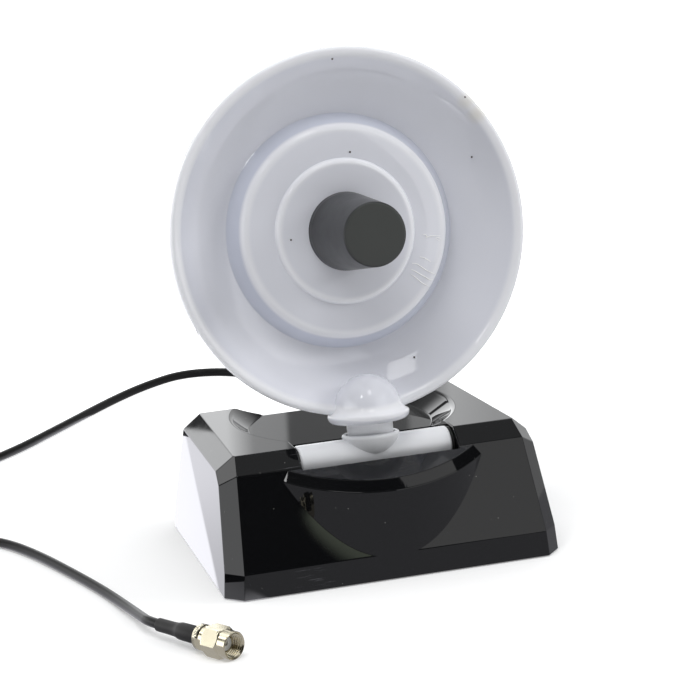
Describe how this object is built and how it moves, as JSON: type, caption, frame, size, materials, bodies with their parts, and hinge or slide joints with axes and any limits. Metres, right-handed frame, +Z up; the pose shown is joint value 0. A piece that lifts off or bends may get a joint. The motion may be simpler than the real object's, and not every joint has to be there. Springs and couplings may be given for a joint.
{
  "type": "directional antenna",
  "caption": "Desktop directional antenna: stepped white dish with a dark feed post, tilting and swivelling on a faceted black base, with a thin coaxial lead.",
  "frame": {"origin": "middle of the base on the plane its feet stand on", "axes": "+Z up, -Y the way the dish and the base's curved front face, +X to the right seen from behind the dish's back"},
  "size_m": [0.1986, 0.2815, 0.1451],
  "materials": {
    "base_black": "high gloss black",
    "dish_white": "glossy white, faintly blue",
    "hinge_white": "semi-gloss white",
    "post_charcoal": "satin charcoal",
    "plate_black": "fine matte grain",
    "ballast_steel": "sheared plate",
    "screw_steel": "zinc plated",
    "foot_rubber": "matte",
    "cord_black": "satin black jacket",
    "sleeve_black": "matte shrunk sleeve",
    "plug_plate": "pale gold plated",
    "insulator_white": "waxy white",
    "washer_nylon": "natural",
    "reflector_sheet": "plain sheet",
    "board_green": "solder mask"
  },
  "bodies": {
    "base": {"base_shell": "base_black", "base_plate": "plate_black", "base_weight": "ballast_steel", "base_screw_1": "screw_steel", "base_screw_2": "screw_steel", "base_screw_3": "screw_steel", "base_screw_4": "screw_steel", "foot_1": "foot_rubber", "foot_2": "foot_rubber", "foot_3": "foot_rubber", "foot_4": "foot_rubber", "hinge_cap_left": "plate_black", "hinge_cap_right": "plate_black", "cap_screw_left_1": "screw_steel", "cap_screw_left_2": "screw_steel", "cap_screw_right_1": "screw_steel", "cap_screw_right_2": "screw_steel", "cord_grommet": "cord_black", "pigtail_base": "cord_black", "cord_run": "cord_black", "cord_coil": "cord_black", "cord_tail": "cord_black", "heat_shrink": "sleeve_black", "plug_body": "plug_plate", "plug_insulator": "insulator_white", "plug_contact": "plug_plate", "snap_ring": "screw_steel"},
    "yoke": {"hinge_bar": "hinge_white", "friction_washer_left": "washer_nylon", "friction_washer_right": "washer_nylon", "swivel_clip": "screw_steel", "pigtail_hinge": "cord_black"},
    "dish": {"dish_shell": "dish_white", "dish_back": "dish_white", "dish_screw_1": "screw_steel", "dish_screw_2": "screw_steel", "dish_screw_3": "screw_steel", "swivel_stem": "hinge_white", "feed_cover": "post_charcoal", "feed_ring": "washer_nylon", "reflector_plate": "reflector_sheet", "feed_board": "board_green", "pigtail_dish": "cord_black"},
    "nut": {"coupling_nut": "plug_plate"}
  },
  "joints": [
    {"name": "tilt", "type": "hinge", "parent": "base", "child": "yoke", "pos_m": [0, -0.02073, 0.03173], "axis": [1, 0, 0], "range_deg": [-28, 20]},
    {"name": "swivel", "type": "hinge", "parent": "yoke", "child": "dish", "pos_m": [0, -0.02073, 0.03173], "axis": [0, 0.1668, 0.986], "range_deg": [-40, 40]},
    {"name": "nut_spin", "type": "hinge", "parent": "base", "child": "nut", "pos_m": [-0.0606, -0.0836, 0.004], "axis": [0.4809, -0.8768, 0], "continuous": true}
  ]
}
